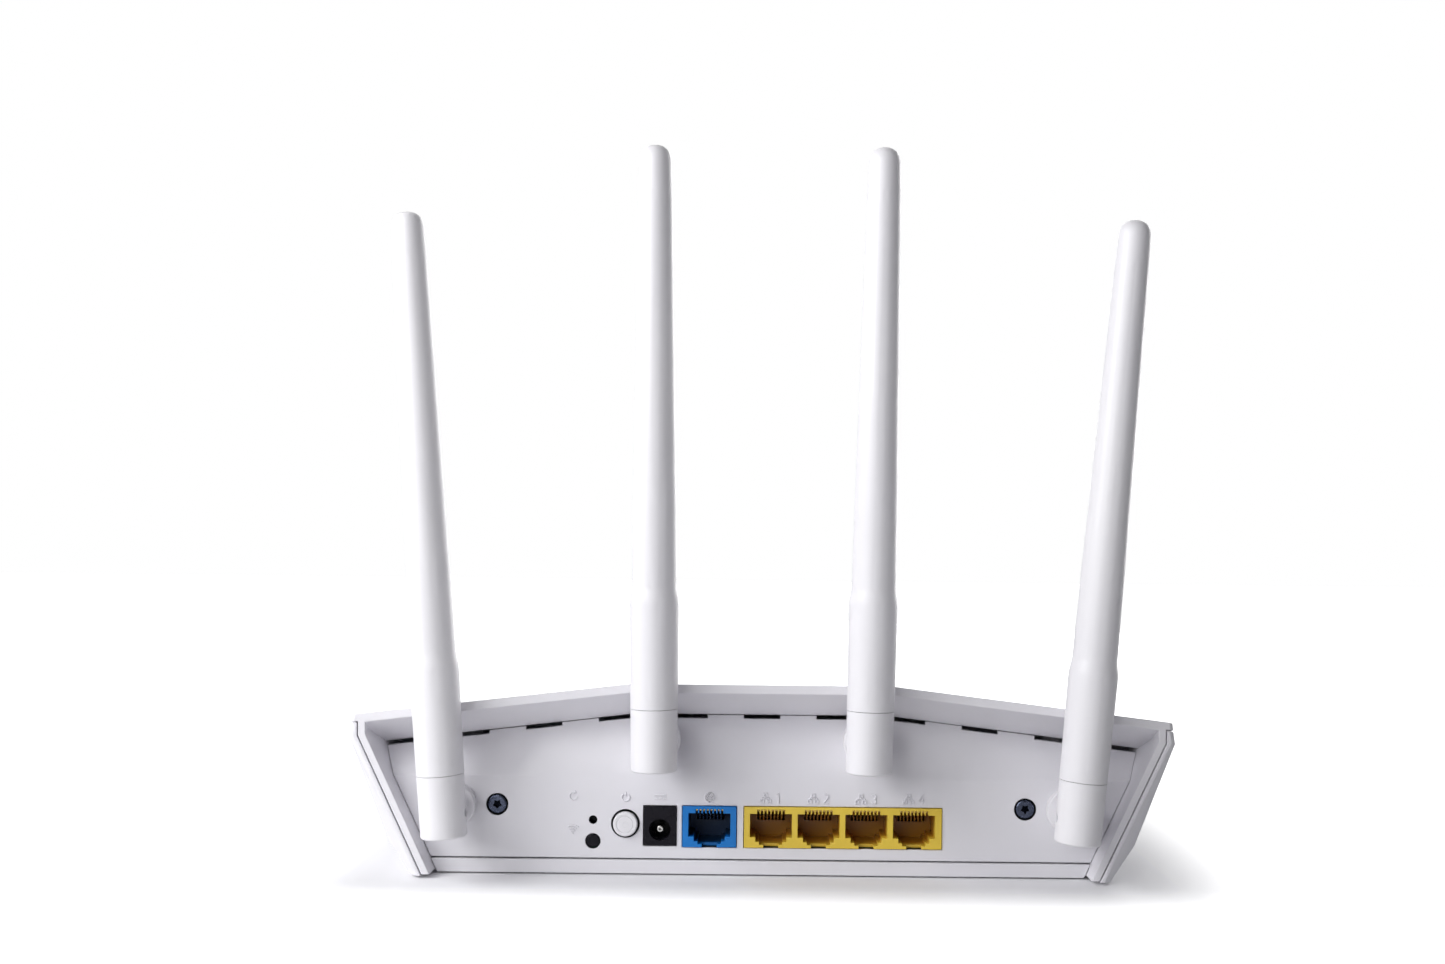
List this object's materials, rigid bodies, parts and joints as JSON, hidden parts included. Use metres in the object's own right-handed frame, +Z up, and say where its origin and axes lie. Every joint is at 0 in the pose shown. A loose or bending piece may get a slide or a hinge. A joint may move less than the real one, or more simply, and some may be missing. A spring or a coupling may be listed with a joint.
{
  "type": "wireless router",
  "caption": "Desktop wireless router with a wedge-shaped white case, hinged swivelling antennas, and a recessed rear panel with network sockets, DC inlet and buttons.",
  "frame": {"origin": "centre of the whole object's box, on the surface the feet stand on", "axes": "+Z up, +Y out of the rear port panel, +X to the left of someone looking at the ports"},
  "size_m": [0.2286, 0.1426, 0.201],
  "materials": {
    "case_white": "satin white moulded shell with a very fine texture",
    "panel_white": "satin white moulded panel",
    "antenna_white": "smooth satin white",
    "button_white": "satin white",
    "black_plastic": "smooth black",
    "jack_blue": "smooth blue",
    "jack_yellow": "smooth yellow",
    "contact_gold": "gold-plated wire",
    "nickel": "bright nickel plate",
    "screw_black": "black oxide",
    "steel": "zinc-plated steel",
    "rubber_grey": "matt grey",
    "label_paper": "blank printed film",
    "board_green": "solder mask",
    "chip_black": "moulded epoxy",
    "pad_grey": "soft pad",
    "aluminium": "bare aluminium",
    "tin": "tinned can",
    "guide_clear": "clear moulded light pipe",
    "cable_grey": "thin coaxial sheath"
  },
  "bodies": {
    "root": {"top_cover": "case_white", "bottom_case": "case_white", "rear_panel": "panel_white", "wan_jack": "jack_blue", "lan_jack_block": "jack_yellow", "wan_contacts": "contact_gold", "lan_contacts": "contact_gold", "dc_jack": "black_plastic", "dc_pin": "nickel", "power_switch": "chip_black", "wps_switch": "chip_black", "reset_switch": "chip_black", "rear_screws": "screw_black", "case_screws": "steel", "board_screws": "steel", "rubber_feet": "rubber_grey", "rating_label": "label_paper", "main_board": "board_green", "processor": "chip_black", "thermal_pad": "pad_grey", "heat_sink": "aluminium", "memory_chips": "chip_black", "radio_chips": "chip_black", "radio_shields": "tin", "lan_transformers": "chip_black", "capacitors": "aluminium", "power_inductor": "chip_black", "crystals": "tin", "status_leds": "guide_clear", "light_guide": "guide_clear", "antenna_cables": "cable_grey", "antenna_sockets": "contact_gold", "antenna_washers": "rubber_grey"},
    "power_button": {"power_button": "button_white"},
    "wps_button": {"wps_button": "black_plastic"},
    "reset_plunger": {"reset_plunger": "black_plastic"},
    "antenna_1_swivel": {"antenna_1_swivel": "antenna_white", "antenna_1_clip": "steel"},
    "antenna_1": {"antenna_1_hinge_pin": "steel", "antenna_1_housing": "antenna_white", "antenna_1_sleeve": "antenna_white", "antenna_1_radiator": "board_green"},
    "antenna_2_swivel": {"antenna_2_swivel": "antenna_white", "antenna_2_clip": "steel"},
    "antenna_2": {"antenna_2_hinge_pin": "steel", "antenna_2_housing": "antenna_white", "antenna_2_sleeve": "antenna_white", "antenna_2_radiator": "board_green"},
    "antenna_3_swivel": {"antenna_3_swivel": "antenna_white", "antenna_3_clip": "steel"},
    "antenna_3": {"antenna_3_hinge_pin": "steel", "antenna_3_housing": "antenna_white", "antenna_3_sleeve": "antenna_white", "antenna_3_radiator": "board_green"},
    "antenna_4_swivel": {"antenna_4_swivel": "antenna_white", "antenna_4_clip": "steel"},
    "antenna_4": {"antenna_4_hinge_pin": "steel", "antenna_4_housing": "antenna_white", "antenna_4_sleeve": "antenna_white", "antenna_4_radiator": "board_green"}
  },
  "joints": [
    {"name": "antenna_1_turn", "type": "hinge", "parent": "root", "child": "antenna_1_swivel", "pos_m": [0.0863, 0.06467, 0.0194], "axis": [0, 1, 0], "range_deg": [-19, 85]},
    {"name": "antenna_1_fold", "type": "hinge", "parent": "antenna_1_swivel", "child": "antenna_1", "pos_m": [0.0863, 0.06467, 0.0194], "axis": [-0.9976, 0, 0.0698], "range_deg": [0, 90]},
    {"name": "antenna_2_turn", "type": "hinge", "parent": "root", "child": "antenna_2_swivel", "pos_m": [0.0292, 0.06467, 0.0378], "axis": [0, 1, 0], "range_deg": [-9, 20]},
    {"name": "antenna_2_fold", "type": "hinge", "parent": "antenna_2_swivel", "child": "antenna_2", "pos_m": [0.0292, 0.06467, 0.0378], "axis": [-1, 0, 0.0079], "range_deg": [0, 90]},
    {"name": "antenna_3_turn", "type": "hinge", "parent": "root", "child": "antenna_3_swivel", "pos_m": [-0.0292, 0.06467, 0.0378], "axis": [0, -1, 0], "range_deg": [-9, 20]},
    {"name": "antenna_3_fold", "type": "hinge", "parent": "antenna_3_swivel", "child": "antenna_3", "pos_m": [-0.0292, 0.06467, 0.0378], "axis": [-0.9999, 0, -0.0157], "range_deg": [0, 90]},
    {"name": "antenna_4_turn", "type": "hinge", "parent": "root", "child": "antenna_4_swivel", "pos_m": [-0.0863, 0.06467, 0.0194], "axis": [0, -1, 0], "range_deg": [-19, 85]},
    {"name": "antenna_4_fold", "type": "hinge", "parent": "antenna_4_swivel", "child": "antenna_4", "pos_m": [-0.0863, 0.06467, 0.0194], "axis": [-0.9965, 0, -0.0837], "range_deg": [0, 90]},
    {"name": "power_button_press", "type": "slide", "parent": "root", "child": "power_button", "axis": [0, -1, 0], "range_m": [0, 0.002], "stiffness_N_per_m": 500},
    {"name": "wps_button_press", "type": "slide", "parent": "root", "child": "wps_button", "axis": [0, -1, 0], "range_m": [0, 0.0005], "stiffness_N_per_m": 2000},
    {"name": "reset_plunger_press", "type": "slide", "parent": "root", "child": "reset_plunger", "axis": [0, -1, 0], "range_m": [0, 0.0003], "stiffness_N_per_m": 2500}
  ]
}
